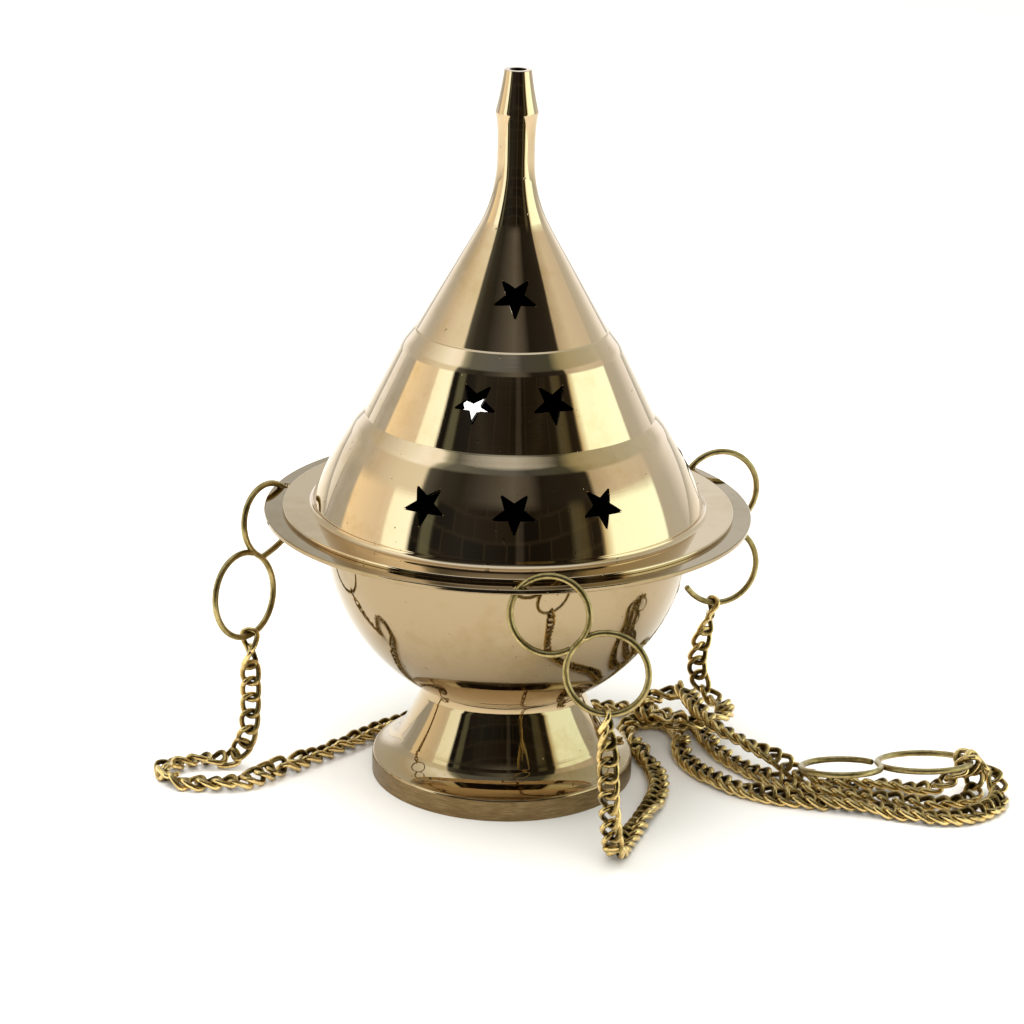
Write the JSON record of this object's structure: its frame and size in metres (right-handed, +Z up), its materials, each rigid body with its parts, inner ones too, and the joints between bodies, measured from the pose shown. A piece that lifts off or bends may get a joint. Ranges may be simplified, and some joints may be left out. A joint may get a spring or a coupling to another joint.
{
  "type": "hanging censer",
  "caption": "Small brass censer: a round flanged bowl on a flared foot, a tall stepped lid pierced with stars, and wire S-hooks carrying chains that gather on one top hook.",
  "frame": {"origin": "centre of the foot's underside, on the surface it stands on", "axes": "+Z up along the turned axis, -Y towards the front where the chain on hook_front hangs, +X to the side where the chains are gathered"},
  "size_m": [0.2073, 0.1215, 0.1712],
  "materials": {
    "polished_brass": "turned and polished, lightly tarnished",
    "wire_brass": "drawn wire, dull and aged",
    "chain_brass": "aged and darkened in the recesses",
    "screw_brass": "plain turned"
  },
  "bodies": {
    "censer": {"foot": "polished_brass", "bowl": "polished_brass", "foot_screw": "screw_brass", "foot_nut": "screw_brass", "chain_left": "chain_brass", "chain_front": "chain_brass", "chain_right": "chain_brass"},
    "lid": {"lid": "polished_brass"},
    "hook_left": {"hook_left": "wire_brass"},
    "hook_front": {"hook_front": "wire_brass"},
    "hook_right": {"hook_right": "wire_brass"},
    "top_hook": {"top_hook": "wire_brass"}
  },
  "joints": [
    {"name": "lid_lift", "type": "slide", "parent": "censer", "child": "lid", "axis": [0, 0, 1], "range_m": [0, 0.12]},
    {"name": "hook_left_swing", "type": "hinge", "parent": "censer", "child": "hook_left", "pos_m": [-0.05693, 0.00623, 0.0602], "axis": [-0.794, 0.5983, -0.1078], "range_deg": [-10, 30]},
    {"name": "hook_front_swing", "type": "hinge", "parent": "censer", "child": "hook_front", "pos_m": [0.00974, -0.05717, 0.06145], "axis": [0.1453, 0.9827, -0.1153], "range_deg": [-30, 10]},
    {"name": "hook_right_swing", "type": "hinge", "parent": "censer", "child": "hook_right", "pos_m": [0.05239, 0.0342, 0.06146], "axis": [-0.2627, 0.9621, -0.0736], "range_deg": [-25, 25]},
    {"name": "top_hook_tip", "type": "hinge", "parent": "censer", "child": "top_hook", "pos_m": [0.11165, -0.00966, 0.0092], "axis": [-0.1966, 0.9578, -0.2096], "range_deg": [0, 80]}
  ]
}
